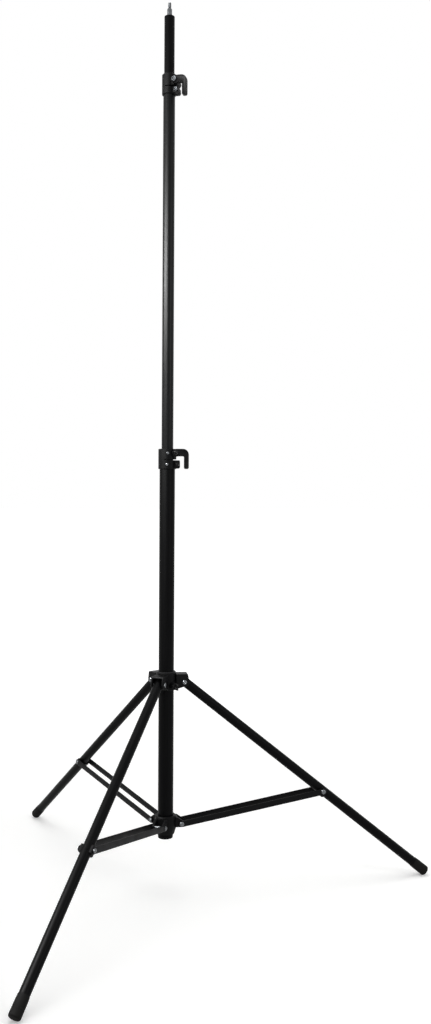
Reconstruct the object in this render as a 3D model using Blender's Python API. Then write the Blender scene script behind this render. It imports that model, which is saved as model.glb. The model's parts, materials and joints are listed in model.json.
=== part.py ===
"""Light stand: a three-section telescopic mast on a folding tripod, drawn set up.

Metres, +Z up. The feet rest on the plane z = 0 and the stand's bounding box is centred on the
origin in X and Y, with one leg along +X. Every moving piece hangs on an empty that sits on its
joint's axis: the leg collar, the legs, the braces, both clamp levers, the lock screw and the two
telescopic sections.
"""

import math

import bmesh
import bpy
from mathutils import Euler, Matrix, Vector

# Clearances
SEAT_GAP = 0.0003        # between pieces that touch
PIN_GAP = 0.0003         # round a pin or a bolt
SLIDE_GAP = 0.0004       # round a telescopic tube

# Mast tubes
LOWER_TUBE_RADIUS = 0.0150
LOWER_TUBE_WALL = 0.0013
LOWER_TUBE_LENGTH = 0.7350
GUIDE_WALL = 0.0016      # of the bush between the lower and the middle tube
GUIDE_LENGTH = 0.0260
GUIDE_RIM = 0.0012       # of that bush on the lower tube's end
MIDDLE_TUBE_WALL = 0.0010
MIDDLE_TUBE_LENGTH = 0.7664
MIDDLE_OVERLAP = 0.0460  # length of the middle tube that stays in the lower one
TOP_TUBE_WALL = 0.0010
TOP_TUBE_LENGTH = 0.7550
TOP_TUBE_SHOWN = 0.1356  # length of the top tube that stands out of the middle one
GLIDE_HEAD = 0.0140      # height of the guide ring below each sliding tube
GLIDE_SHANK = 0.0200     # length of the spigot that holds the ring in its tube
GLIDE_WALL = 0.0025

# Bottom of the mast
MAST_FOOT_HEIGHT = 0.1010    # the plug's underside above the floor
PLUG_FLANGE = 0.0040
PLUG_SHANK = 0.0190
PLUG_WALL = 0.0020

# Lower hub, fixed to the mast
LOWER_HUB_WALL = 0.0057
LOWER_HUB_HEIGHT = 0.0360
LOWER_HUB_TAPER = 0.0120
LOWER_HUB_RISE = 0.0090      # its underside above the plug's
LOWER_PIVOT_RADIUS = 0.0310
LOWER_PIVOT_RISE = 0.0200    # of the brace pivots above the hub's underside
LUG_NOSE_RADIUS = 0.0065
LUG_POCKET_WALL = 0.0042
LUG_POCKET_FLOOR = 0.0020    # between the hub's barrel and the pocket in a lug
LUG_TOP_STEP = 0.0015        # of a lug's upper edge off the barrel
LUG_BEVEL = 0.0006
HUB_SCREW_RADIUS = 0.0020
HUB_SCREW_DROP = 0.0075      # of its axis below the hub's top
HUB_SCREW_HEAD = 0.0018
HUB_SCREW_REACH = 0.0015     # of its tip into the tube

# Legs
LEG_COUNT = 3
LEG_LENGTH = 0.6407          # from the hub pivot to the end of the foot
LEG_ANGLE = math.radians(51.15)
LEG_RADIUS = 0.0093
LEG_WALL = 0.0012
LEG_TOP_RISE = 0.0040        # of the tube's end past the hub pivot
LEG_PLUG_HEAD = 0.0022
LEG_PLUG_SHANK = 0.0160
FOOT_WALL = 0.0008
FOOT_LENGTH = 0.0350
FOOT_SOLE = 0.0030
FOOT_ROUNDING = 0.0035

# Leg hub, which slides on the mast
HUB_BUSH_WALL = 0.0010
HUB_BUSH_FLANGE = 0.0012
HUB_WALL = 0.0032
HUB_HEIGHT = 0.0340
HUB_BELOW_PIVOT = 0.0150
HUB_PIVOT_RADIUS = 0.0350
CHEEK_WALL = 0.0032
CHEEK_NOSE_RADIUS = 0.0092
CHEEK_RISE = 0.0160          # of the cheeks above the pivot
CHEEK_BRIDGE = 0.0030
CHEEK_CORNER = 0.0020
CHEEK_BEVEL = 0.0007
LEG_TURN_GAP = 0.0010         # between the leg's upper end and the hub as it folds
LEG_PIN_RADIUS = 0.0030
RIVET_HEAD_RADIUS = 0.0045
RIVET_HEAD_HEIGHT = 0.0020

# Braces
BRACE_ATTACH = 0.3600        # from the hub pivot down the leg
BRACE_WIDTH = 0.0118
BRACE_THICKNESS = 0.0020
BRACE_PIN_RADIUS = 0.0025
CLIP_WALL = 0.0026
CLIP_FLOOR = 0.0020           # of the clip under the leg
CLIP_RISE = 0.0055            # of its open sides above the leg's axis
CLIP_LENGTH = 0.0140

# Leg lock screw
LOCK_SCREW_RADIUS = 0.0030
LOCK_RISE = 0.0095           # of its axis above the leg hub's underside
LOCK_BOSS_WALL = 0.0035
LOCK_BOSS_REACH = 0.0240
KNOB_LENGTH = 0.0080
KNOB_WALL = 0.0035
WING_REACH = 0.0075
WING_SPAN = 0.0065
WING_THICKNESS = 0.0050
KNOB_CORNER = 0.0015
WING_BEVEL = 0.0008

# Split collars with their clamp levers
COLLAR_WALL = 0.0023
COLLAR_SPLIT = 0.0025
COLLAR_SLOT = 0.0020
LOWER_COLLAR_SLEEVE = 0.0175
LOWER_COLLAR_NOTCH = 0.0070
LOWER_COLLAR_TOP = 0.0074    # of the collar above its clamp bolt
LOWER_COLLAR_TURN = math.radians(-5.5)
UPPER_COLLAR_SLEEVE = 0.0135
UPPER_COLLAR_NOTCH = 0.0024
UPPER_COLLAR_TOP = 0.0155
UPPER_COLLAR_TURN = math.radians(-22.0)
LUG_THICKNESS = 0.0088
LUG_MARGIN = 0.0046
LUG_CORNER = 0.0030
LUG_EDGE = 0.0007
LUG_FLAT = 0.0014            # of the upper lug past the lower one, on each side
FIX_BOLT_RADIUS = 0.0020
CLAMP_BOLT_RADIUS = 0.0025
BOLT_WALL = 0.0024           # of the collar between a bolt and the tube
BOLT_HEAD_HEIGHT = 0.0030
FIX_BOLT_HEAD = 0.0036
CLAMP_BOLT_HEAD = 0.0046
NUT_HEIGHT = 0.0036
FIX_NUT_RADIUS = 0.0040
LEVER_NUT_RADIUS = 0.0050
FIX_BOLT_TIP = 0.0006        # of the bolt past its nut
CLAMP_BOLT_TIP = 0.0008
LEVER_HUB_RADIUS = 0.0072
LEVER_THICKNESS = 0.0080
LEVER_REACH = 0.0246
LEVER_DROP = 0.0316
LEVER_FINGER = 0.0094
LEVER_CORNER = 0.0110
LEVER_FILLET = 0.0020
LEVER_RECESS = 0.0008
LEVER_RIM = 0.0015

# Top of the mast
CAP_HEIGHT = 0.0020
CAP_SHANK = 0.0140
STUD_RADIUS = 0.00475
STUD_BASE = 0.0144
STUD_TIP_RADIUS = 0.0031
STUD_TIP = 0.0124

# Facets round a full turn
MAST_FACETS = 28
LEG_FACETS = 18
PIN_FACETS = 10

# Sizes that follow from the ones above
LOWER_BORE = LOWER_TUBE_RADIUS - LOWER_TUBE_WALL
MIDDLE_TUBE_RADIUS = LOWER_BORE - SEAT_GAP - GUIDE_WALL - SLIDE_GAP
MIDDLE_BORE = MIDDLE_TUBE_RADIUS - MIDDLE_TUBE_WALL
TOP_TUBE_RADIUS = MIDDLE_BORE - SLIDE_GAP
TOP_BORE = TOP_TUBE_RADIUS - TOP_TUBE_WALL
LEG_BORE = LEG_RADIUS - LEG_WALL
FOOT_RADIUS = LEG_RADIUS + SEAT_GAP + FOOT_WALL
CLIP_HALF_WIDTH = LEG_RADIUS + SEAT_GAP + CLIP_WALL
STRIP_INSIDE = CLIP_HALF_WIDTH + SEAT_GAP
STRIP_OUTSIDE = STRIP_INSIDE + BRACE_THICKNESS
LEG_SLOT_HALF_WIDTH = LEG_RADIUS + 2 * SEAT_GAP
LOWER_HUB_BORE = LOWER_TUBE_RADIUS + SEAT_GAP
LOWER_HUB_RADIUS = LOWER_HUB_BORE + LOWER_HUB_WALL
CHEEK_OUTSIDE = LEG_SLOT_HALF_WIDTH + CHEEK_WALL

# Heights above the floor with the legs spread
FOOT_DROP = ((FOOT_RADIUS - FOOT_ROUNDING) * math.sin(LEG_ANGLE)
             + FOOT_ROUNDING * (1 - math.cos(LEG_ANGLE)))
HUB_PIVOT_HEIGHT = LEG_LENGTH * math.cos(LEG_ANGLE) + FOOT_DROP
LOWER_HUB_BASE = MAST_FOOT_HEIGHT + LOWER_HUB_RISE
LOWER_PIVOT_HEIGHT = LOWER_HUB_BASE + LOWER_PIVOT_RISE
HUB_SCREW_HEIGHT = LOWER_HUB_BASE + LOWER_HUB_HEIGHT - HUB_SCREW_DROP
LOWER_TUBE_BASE = MAST_FOOT_HEIGHT + PLUG_FLANGE + SEAT_GAP
LOWER_TUBE_TOP = LOWER_TUBE_BASE + LOWER_TUBE_LENGTH
MIDDLE_TUBE_BASE = LOWER_TUBE_TOP - MIDDLE_OVERLAP
MIDDLE_TUBE_TOP = MIDDLE_TUBE_BASE + MIDDLE_TUBE_LENGTH
TOP_TUBE_BASE = MIDDLE_TUBE_TOP + TOP_TUBE_SHOWN - TOP_TUBE_LENGTH
TOP_TUBE_TOP = TOP_TUBE_BASE + TOP_TUBE_LENGTH

# The braces close the triangle between the lower hub and the legs.
BRACE_RUN = (HUB_PIVOT_RADIUS + BRACE_ATTACH * math.sin(LEG_ANGLE)) - LOWER_PIVOT_RADIUS
BRACE_CLIMB = (HUB_PIVOT_HEIGHT - BRACE_ATTACH * math.cos(LEG_ANGLE)) - LOWER_PIVOT_HEIGHT
BRACE_LENGTH = math.hypot(BRACE_RUN, BRACE_CLIMB)
BRACE_ANGLE = math.atan2(BRACE_CLIMB, BRACE_RUN)


def make_material(name, colour, roughness, metallic):
    material = bpy.data.materials.new(name)
    material.use_nodes = True
    shader = material.node_tree.nodes["Principled BSDF"]
    shader.inputs["Base Color"].default_value = (*colour, 1.0)
    shader.inputs["Roughness"].default_value = roughness
    shader.inputs["Metallic"].default_value = metallic
    return material


def to_mesh(bm, name):
    """Closes a bmesh into a mesh whose faces point out, shaded smooth between its sharp edges."""
    bmesh.ops.recalc_face_normals(bm, faces=bm.faces)
    mesh = bpy.data.meshes.new(name)
    bm.to_mesh(mesh)
    bm.free()
    mesh.shade_smooth()
    mesh.set_sharp_from_angle(angle=math.radians(35))
    return mesh


def lathe(name, profile, facets):
    """Turns a profile of (radius, height) points about Z.

    A profile that starts and ends on the axis gives a full body, any other one a ring."""
    bm = bmesh.new()
    points = [bm.verts.new((radius, 0, height)) for radius, height in profile]
    for start, end in zip(points, points[1:]):
        bm.edges.new((start, end))
    if profile[0][0] > 0:
        bm.edges.new((points[-1], points[0]))
    bmesh.ops.spin(bm, geom=bm.verts[:] + bm.edges[:], cent=(0, 0, 0), axis=(0, 0, 1),
                   angle=2 * math.pi, steps=facets, use_merge=True)
    bmesh.ops.remove_doubles(bm, verts=bm.verts, dist=1e-6)
    return to_mesh(bm, name)


def tube(name, radius, bore, base, top, facets):
    return lathe(name, [(bore, base), (radius, base), (radius, top), (bore, top)], facets)


def rod(name, radius, base, top, facets):
    return lathe(name, [(0, base), (radius, base), (radius, top), (0, top)], facets)


def plate(name, outline, low, high, bevel=0.0):
    """Extrudes an outline of (x, z) points along Y, from low to high, and breaks its edges."""
    bm = bmesh.new()
    corners = [bm.verts.new((x, low, z)) for x, z in outline]
    face = bm.faces.new(corners)
    copy = bmesh.ops.extrude_face_region(bm, geom=[face])["geom"]
    moved = [item for item in copy if isinstance(item, bmesh.types.BMVert)]
    bmesh.ops.translate(bm, verts=moved, vec=(0, high - low, 0))
    if bevel:
        rims = [edge for edge in bm.edges
                if abs(edge.verts[0].co.y - edge.verts[1].co.y) < 1e-7]
        bmesh.ops.bevel(bm, geom=rims, offset=bevel, segments=1, affect="EDGES")
    return to_mesh(bm, name)


def block(name, low, high):
    bm = bmesh.new()
    bmesh.ops.create_cube(bm, size=1.0)
    size = Vector(high) - Vector(low)
    middle = (Vector(high) + Vector(low)) / 2
    bmesh.ops.transform(bm, matrix=Matrix.Translation(middle) @ Matrix.Diagonal((*size, 1)),
                        verts=bm.verts)
    return to_mesh(bm, name)


def arc(centre_x, centre_z, radius, start, end, steps):
    """Points on an arc from one angle to another, in degrees, both ends included."""
    angles = [math.radians(start + (end - start) * step / steps) for step in range(steps + 1)]
    return [(centre_x + radius * math.cos(angle), centre_z + radius * math.sin(angle))
            for angle in angles]


def moved(mesh, location=(0, 0, 0), rotation=(0, 0, 0)):
    """The mesh itself, turned and then carried to a place."""
    mesh.transform(Matrix.LocRotScale(Vector(location), Euler(rotation), None))
    return mesh


def along_y(mesh, location=(0, 0, 0)):
    """Lays a body that was turned about Z along Y, so that its base points to -Y."""
    return moved(mesh, location, (math.radians(-90), 0, 0))


def along_x(mesh, location=(0, 0, 0)):
    """Lays a body that was turned about Z along X, so that its base points to -X."""
    return moved(mesh, location, (0, math.radians(90), 0))


def boolean(mesh, tools, operation):
    """The mesh after an exact Boolean with each of the tool meshes in turn."""
    name = mesh.name
    for tool_mesh in tools:
        body = bpy.data.objects.new("boolean_body", mesh)
        tool = bpy.data.objects.new("boolean_tool", tool_mesh)
        for item in (body, tool):
            bpy.context.scene.collection.objects.link(item)
        modifier = body.modifiers.new("boolean", "BOOLEAN")
        modifier.operation = operation
        modifier.object = tool
        modifier.solver = "EXACT"
        graph = bpy.context.evaluated_depsgraph_get()
        mesh = bpy.data.meshes.new_from_object(body.evaluated_get(graph))
        for item in (body, tool):
            bpy.data.objects.remove(item)
        bm = bmesh.new()
        bm.from_mesh(mesh)
        bmesh.ops.remove_doubles(bm, verts=bm.verts, dist=1e-6)
        bmesh.ops.dissolve_degenerate(bm, edges=bm.edges, dist=1e-6)
        mesh = to_mesh(bm, name)
    return mesh


def cut(mesh, *tools):
    return boolean(mesh, tools, "DIFFERENCE")


def join(mesh, *tools):
    return boolean(mesh, tools, "UNION")


def pivot(name, parent, location, rotation=(0, 0, 0)):
    """An empty on a joint's axis, or the frame of a section of the mast."""
    empty = bpy.data.objects.new(name, None)
    empty.empty_display_size = 0.02
    empty.parent = parent
    empty.location = location
    empty.rotation_euler = rotation
    bpy.context.scene.collection.objects.link(empty)
    return empty


def place(name, mesh, material, parent):
    """Puts one piece on its pivot. Pieces that share a mesh share its material."""
    if not mesh.materials:
        mesh.materials.append(material)
    piece = bpy.data.objects.new(name, mesh)
    piece.parent = parent
    bpy.context.scene.collection.objects.link(piece)
    return piece


def azimuth(index):
    return 2 * math.pi * index / LEG_COUNT


def headed_pin(name, radius, inside, head_radius=RIVET_HEAD_RADIUS):
    """A rivet along Y with a domed head on each side of a stack that is twice inside wide."""
    seat = inside + SEAT_GAP
    crown = seat + RIVET_HEAD_HEIGHT
    brow = seat + 0.55 * RIVET_HEAD_HEIGHT
    half = [(0, crown), (0.6 * head_radius, crown), (head_radius, brow), (head_radius, seat),
            (radius, seat)]
    mirrored = [(r, -h) for r, h in reversed(half)]
    return along_y(lathe(name, half + mirrored, PIN_FACETS))


def lower_tube_mesh():
    """Lower tube, drilled for the screw that holds the lower hub."""
    body = tube("lower_tube", LOWER_TUBE_RADIUS, LOWER_BORE, LOWER_TUBE_BASE, LOWER_TUBE_TOP,
                MAST_FACETS)
    drill = along_x(rod("drill", HUB_SCREW_RADIUS + PIN_GAP, 0, 2 * LOWER_TUBE_RADIUS,
                        PIN_FACETS))
    return cut(body, moved(drill, (0, 0, HUB_SCREW_HEIGHT), (0, 0, azimuth(0.5))))


def bottom_plug_mesh():
    """Cup-shaped plug whose flange closes the tube's lower end."""
    shank = LOWER_BORE - SEAT_GAP
    flange = LOWER_TUBE_RADIUS - SEAT_GAP
    top = LOWER_TUBE_BASE + PLUG_SHANK
    chamfer = PLUG_FLANGE / 3
    profile = [(0, MAST_FOOT_HEIGHT),
               (flange - chamfer, MAST_FOOT_HEIGHT),
               (flange, MAST_FOOT_HEIGHT + chamfer),
               (flange, MAST_FOOT_HEIGHT + PLUG_FLANGE),
               (shank, MAST_FOOT_HEIGHT + PLUG_FLANGE),
               (shank, top),
               (shank - PLUG_WALL, top),
               (shank - PLUG_WALL, MAST_FOOT_HEIGHT + PLUG_FLANGE),
               (0, MAST_FOOT_HEIGHT + PLUG_FLANGE)]
    return lathe("bottom_plug", profile, MAST_FACETS)


def lower_hub_mesh():
    """Moulded hub with three forked lugs for the braces, tapered below."""
    base = LOWER_HUB_BASE
    top = base + LOWER_HUB_HEIGHT
    chamfer = LOWER_HUB_WALL / 4
    barrel = lathe("lower_hub", [(LOWER_HUB_BORE, base),
                                 (LOWER_HUB_RADIUS - 0.6 * LOWER_HUB_WALL, base),
                                 (LOWER_HUB_RADIUS, base + LOWER_HUB_TAPER),
                                 (LOWER_HUB_RADIUS, top - chamfer),
                                 (LOWER_HUB_RADIUS - chamfer, top),
                                 (LOWER_HUB_BORE, top)], MAST_FACETS)
    nose_x = LOWER_PIVOT_RADIUS
    nose_z = LOWER_PIVOT_HEIGHT
    root = LOWER_HUB_RADIUS - 0.5 * LOWER_HUB_WALL
    outline = ([(root, nose_z - LUG_NOSE_RADIUS)]
               + arc(nose_x, nose_z, LUG_NOSE_RADIUS, -90, 75, 6)
               + [(LOWER_HUB_RADIUS + LUG_TOP_STEP, top - 2 * chamfer), (root, top - 2 * chamfer)])
    for index in range(LEG_COUNT):
        lug = plate("lug", outline, -CLIP_HALF_WIDTH, CLIP_HALF_WIDTH, bevel=LUG_BEVEL)
        barrel = join(barrel, moved(lug, rotation=(0, 0, azimuth(index))))
    tools = []
    pocket = CLIP_HALF_WIDTH - LUG_POCKET_WALL
    for index in range(LEG_COUNT):
        hole = along_y(rod("drill", BRACE_PIN_RADIUS + PIN_GAP, -2 * CLIP_HALF_WIDTH,
                           2 * CLIP_HALF_WIDTH, PIN_FACETS), (nose_x, 0, nose_z))
        recess = block("pocket", (LOWER_HUB_RADIUS + LUG_POCKET_FLOOR, -pocket, base),
                       (2 * nose_x, pocket, top))
        tools.append(moved(hole, rotation=(0, 0, azimuth(index))))
        tools.append(moved(recess, rotation=(0, 0, azimuth(index))))
    screw = along_x(rod("drill", HUB_SCREW_RADIUS + PIN_GAP, 0, 2 * LOWER_HUB_RADIUS,
                        PIN_FACETS), (0, 0, HUB_SCREW_HEIGHT))
    tools.append(moved(screw, rotation=(0, 0, azimuth(0.5))))
    return cut(barrel, *tools)


def hub_screw_mesh():
    """Pan-head screw that holds the lower hub on the tube, along X."""
    head = LOWER_HUB_RADIUS + SEAT_GAP
    tip = LOWER_BORE - HUB_SCREW_REACH
    profile = [(0, tip), (HUB_SCREW_RADIUS, tip), (HUB_SCREW_RADIUS, head),
               (1.8 * HUB_SCREW_RADIUS, head),
               (1.8 * HUB_SCREW_RADIUS, head + 0.55 * HUB_SCREW_HEAD),
               (1.2 * HUB_SCREW_RADIUS, head + HUB_SCREW_HEAD), (0, head + HUB_SCREW_HEAD)]
    return along_x(lathe("hub_screw", profile, PIN_FACETS), (0, 0, HUB_SCREW_HEIGHT))


def guide_bush_mesh():
    """Plastic guide in the top of the lower tube, its rim on the tube's end."""
    inside = MIDDLE_TUBE_RADIUS + SLIDE_GAP
    outside = LOWER_BORE - SEAT_GAP
    seat = LOWER_TUBE_TOP + SEAT_GAP
    rim = seat + GUIDE_RIM
    return lathe("guide_bush", [(inside, LOWER_TUBE_TOP - GUIDE_LENGTH),
                                (outside, LOWER_TUBE_TOP - GUIDE_LENGTH),
                                (outside, seat),
                                (LOWER_TUBE_RADIUS, seat),
                                (LOWER_TUBE_RADIUS, rim),
                                (inside, rim)], MAST_FACETS)


def glide_mesh(name, outer_bore, tube_bore):
    """Guide ring on the lower end of a sliding tube, with a spigot that goes into the tube."""
    head = outer_bore - SLIDE_GAP
    shank = tube_bore - SEAT_GAP
    bore = shank - GLIDE_WALL
    chamfer = GLIDE_HEAD / 8
    seat = -SEAT_GAP
    profile = [(bore, seat - GLIDE_HEAD), (head - chamfer, seat - GLIDE_HEAD),
               (head, seat - GLIDE_HEAD + chamfer), (head, seat), (shank, seat),
               (shank, GLIDE_SHANK), (bore, GLIDE_SHANK)]
    return lathe(name, profile, MAST_FACETS)


def top_cap_mesh():
    """Plug that closes the top tube and holds the stud."""
    hole = STUD_RADIUS + SEAT_GAP
    shank = TOP_BORE - SEAT_GAP
    return lathe("top_cap", [(hole, -CAP_SHANK), (shank, -CAP_SHANK), (shank, SEAT_GAP),
                             (TOP_TUBE_RADIUS, SEAT_GAP), (TOP_TUBE_RADIUS, CAP_HEIGHT),
                             (hole, CAP_HEIGHT)], MAST_FACETS)


def stud_mesh():
    """Turned stud: a plain base and a thinner threaded tip, chamfered."""
    shoulder = CAP_HEIGHT + STUD_BASE
    tip = shoulder + STUD_TIP
    chamfer = STUD_TIP_RADIUS / 5
    return lathe("light_stud", [(0, -CAP_SHANK), (STUD_RADIUS, -CAP_SHANK),
                                (STUD_RADIUS, shoulder - chamfer),
                                (STUD_RADIUS - chamfer, shoulder),
                                (STUD_TIP_RADIUS, shoulder),
                                (STUD_TIP_RADIUS, tip - chamfer),
                                (STUD_TIP_RADIUS - chamfer, tip), (0, tip)], 20)


def collar_sizes(outer_radius, inner_radius, sleeve, notch, top):
    """Heights and distances of a split collar, from the collar's base and the mast's axis."""
    bolt_height = sleeve + notch + LEVER_HUB_RADIUS
    return {"outer": outer_radius, "inner": inner_radius, "sleeve": sleeve, "notch": notch,
            "bolt_height": bolt_height, "height": bolt_height + top,
            "outside": outer_radius + SEAT_GAP + COLLAR_WALL,
            "fix_bolt": outer_radius + BOLT_WALL + FIX_BOLT_RADIUS + 2 * SEAT_GAP,
            "clamp_bolt": inner_radius + BOLT_WALL + CLAMP_BOLT_RADIUS + 2 * SEAT_GAP,
            "face": COLLAR_SPLIT / 2 + LUG_THICKNESS + LUG_FLAT}


def round_lug(reach, low, high, half_width):
    """A lug along +X with a rounded nose, seen from the side and extruded across the split."""
    corner = min(LUG_CORNER, (high - low) / 3)
    outline = ([(0.002, low)]
               + arc(reach - corner, low + corner, corner, -90, 0, 3)
               + arc(reach - corner, high - corner, corner, 0, 90, 3)
               + [(0.002, high)])
    return plate("lug", outline, -half_width, half_width, bevel=LUG_EDGE)


def collar_mesh(name, sizes):
    """Split collar: the sleeve grips the outer tube's end and the ring above grips the inner tube.

    A slot frees the ring from the sleeve, and one split runs through both on the lug side."""
    ring_bore = sizes["inner"] + SLIDE_GAP
    sleeve_bore = sizes["outer"] + SEAT_GAP
    sleeve = sizes["sleeve"]
    height = sizes["height"]
    outside = sizes["outside"]
    chamfer = COLLAR_WALL / 3
    body = lathe(name, [(0, 0), (outside - chamfer, 0), (outside, chamfer),
                        (outside, height - chamfer), (outside - chamfer, height),
                        (0, height)], MAST_FACETS)
    low_lug = round_lug(sizes["fix_bolt"] + LUG_MARGIN, 1.5 * chamfer, sleeve,
                        COLLAR_SPLIT / 2 + LUG_THICKNESS)
    high_lug = round_lug(sizes["clamp_bolt"] + LUG_MARGIN,
                         sizes["bolt_height"] - LEVER_HUB_RADIUS,
                         sizes["bolt_height"] + LEVER_HUB_RADIUS, sizes["face"] + SEAT_GAP)
    body = join(body, low_lug, high_lug)
    room = lathe("room", [(0, -0.01), (sleeve_bore, -0.01), (sleeve_bore, sleeve),
                          (ring_bore, sleeve), (ring_bore, 2 * height), (0, 2 * height)],
                 MAST_FACETS)
    slot_low = sleeve - COLLAR_SLOT / 4
    slot = block("slot", (-0.35 * outside, -0.06, slot_low), (0.06, 0.06, slot_low + COLLAR_SLOT))
    split = block("split", (0, -COLLAR_SPLIT / 2, -0.01), (0.06, COLLAR_SPLIT / 2, 0.06))
    flats = []
    for side in (-1, 1):
        low_y, high_y = sorted((side * sizes["face"], side * 0.06))
        flats.append(block("flat", (sizes["clamp_bolt"] - LEVER_HUB_RADIUS - 0.0008, low_y,
                                    sizes["bolt_height"] - LEVER_HUB_RADIUS - 2 * SEAT_GAP),
                           (0.06, high_y, 0.06)))
    fix_hole = along_y(rod("drill", FIX_BOLT_RADIUS + PIN_GAP, -0.04, 0.04, PIN_FACETS),
                       (sizes["fix_bolt"], 0, sleeve / 2))
    clamp_hole = along_y(rod("drill", CLAMP_BOLT_RADIUS + PIN_GAP, -0.04, 0.04, PIN_FACETS),
                         (sizes["clamp_bolt"], 0, sizes["bolt_height"]))
    return cut(body, *flats, room, slot, split, fix_hole, clamp_hole)


def bolt_mesh(name, radius, head_radius, tip, seat, head_facets):
    """A bolt along Y: its tip towards -Y, the head's seat and the head towards +Y."""
    shank = rod(name, radius, tip, seat + 0.0005, PIN_FACETS)
    head = rod("head", head_radius, seat, seat + BOLT_HEAD_HEIGHT, head_facets)
    return along_y(join(shank, head))


def nut_mesh(name, radius, across_corners, seat):
    """A hexagon nut along Y, from its seat towards -Y."""
    body = rod(name, across_corners, seat - NUT_HEIGHT, seat, 6)
    hole = rod("drill", radius + PIN_GAP, seat - 2 * NUT_HEIGHT, seat + NUT_HEIGHT, PIN_FACETS)
    return along_y(cut(body, hole))


def lever_mesh(name, back):
    """Hooked clamp lever, its round end on the clamp bolt, its finger grip hanging down.

    It lies in the XZ plane from back to back - LEVER_THICKNESS, with a sunk front face."""
    inner = LEVER_REACH - LEVER_FINGER
    hub = LEVER_HUB_RADIUS
    tip = 0.30 * LEVER_FINGER
    outline = (arc(inner + tip, tip - LEVER_DROP, tip, 180, 270, 3)
               + arc(LEVER_REACH - tip, tip - LEVER_DROP, tip, 270, 360, 3)
               + arc(LEVER_REACH - LEVER_CORNER, hub - LEVER_CORNER, LEVER_CORNER, 0, 90, 5)
               + arc(0, 0, hub, 90, 270, 10)
               + [(inner - LEVER_FILLET, -hub)]
               + arc(inner - LEVER_FILLET, -hub - LEVER_FILLET, LEVER_FILLET, 60, 0, 2))
    front = back - LEVER_THICKNESS
    bm = bmesh.new()
    face = bm.faces.new([bm.verts.new((x, back, z)) for x, z in outline])
    copy = bmesh.ops.extrude_face_region(bm, geom=[face])["geom"]
    corners = [item for item in copy if isinstance(item, bmesh.types.BMVert)]
    bmesh.ops.translate(bm, verts=corners, vec=(0, -LEVER_THICKNESS, 0))
    sunk = [item for item in bm.faces if all(abs(v.co.y - front) < 1e-7 for v in item.verts)]
    bmesh.ops.recalc_face_normals(bm, faces=bm.faces)
    bmesh.ops.inset_region(bm, faces=sunk, thickness=LEVER_RIM, depth=0)
    bmesh.ops.inset_region(bm, faces=sunk, thickness=LEVER_RECESS / 2, depth=-LEVER_RECESS)
    body = to_mesh(bm, name)
    hole = along_y(rod("drill", CLAMP_BOLT_RADIUS + PIN_GAP, front - 0.01, back + 0.01,
                       PIN_FACETS))
    return cut(body, hole)


def leg_hub_mesh():
    """Moulded leg hub: a sleeve, a forked bracket with a bridged top for each leg, a screw boss.

    Its origin is on the mast's axis at the height of the leg pivots."""
    base = -HUB_BELOW_PIVOT
    top = base + HUB_HEIGHT
    bore = LOWER_TUBE_RADIUS + SLIDE_GAP + HUB_BUSH_WALL + SEAT_GAP
    outside = bore + HUB_WALL
    chamfer = HUB_WALL / 3
    body = lathe("leg_hub", [(bore, base), (outside - chamfer, base), (outside, base + chamfer),
                             (outside, top - chamfer), (outside - chamfer, top),
                             (bore, top)], MAST_FACETS)
    root = outside - 0.5 * HUB_WALL
    corner = CHEEK_CORNER
    nose = CHEEK_NOSE_RADIUS
    cheek_top = CHEEK_RISE
    end = HUB_PIVOT_RADIUS + 0.75 * nose
    outline = ([(root, base + chamfer)]
               + arc(HUB_PIVOT_RADIUS, 0, nose, -100, 12, 6)
               + arc(end - corner, cheek_top - corner, corner, 10, 90, 2)
               + [(root, cheek_top)])
    for index in range(LEG_COUNT):
        bracket = plate("bracket", outline, -CHEEK_OUTSIDE, CHEEK_OUTSIDE, bevel=CHEEK_BEVEL)
        body = join(body, moved(bracket, rotation=(0, 0, azimuth(index))))
    lock_height = base + LOCK_RISE
    boss = along_x(rod("boss", LOCK_SCREW_RADIUS + PIN_GAP + LOCK_BOSS_WALL, root,
                       LOCK_BOSS_REACH, 18), (0, 0, lock_height))
    body = join(body, moved(boss, rotation=(0, 0, azimuth(-0.5))))
    tools = []
    inner_wall = HUB_PIVOT_RADIUS - math.hypot(LEG_RADIUS, LEG_TOP_RISE) - LEG_TURN_GAP
    for index in range(LEG_COUNT):
        slot = block("slot", (inner_wall, -LEG_SLOT_HALF_WIDTH, 2 * base),
                     (2 * HUB_PIVOT_RADIUS, LEG_SLOT_HALF_WIDTH, cheek_top - CHEEK_BRIDGE))
        hole = along_y(rod("drill", LEG_PIN_RADIUS + PIN_GAP, -2 * CHEEK_OUTSIDE,
                           2 * CHEEK_OUTSIDE, PIN_FACETS), (HUB_PIVOT_RADIUS, 0, 0))
        tools.append(moved(slot, rotation=(0, 0, azimuth(index))))
        tools.append(moved(hole, rotation=(0, 0, azimuth(index))))
    thread = along_x(rod("drill", LOCK_SCREW_RADIUS + PIN_GAP, 0, 2 * LOCK_BOSS_REACH,
                         PIN_FACETS), (0, 0, lock_height))
    tools.append(moved(thread, rotation=(0, 0, azimuth(-0.5))))
    return cut(body, *tools)


def hub_bush_mesh():
    """Thin liner of the leg hub, its flange on the hub's top, drilled for the lock screw."""
    base = -HUB_BELOW_PIVOT
    seat = base + HUB_HEIGHT + SEAT_GAP
    inside = LOWER_TUBE_RADIUS + SLIDE_GAP
    outside = inside + HUB_BUSH_WALL
    flange = outside + 0.6 * HUB_WALL
    body = lathe("leg_hub_bush", [(inside, base), (outside, base), (outside, seat),
                                  (flange, seat), (flange, seat + HUB_BUSH_FLANGE),
                                  (inside, seat + HUB_BUSH_FLANGE)], MAST_FACETS)
    hole = along_x(rod("drill", LOCK_SCREW_RADIUS + PIN_GAP, 0, 2 * outside, PIN_FACETS),
                   (0, 0, base + LOCK_RISE))
    return cut(body, moved(hole, rotation=(0, 0, azimuth(-0.5))))


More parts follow.
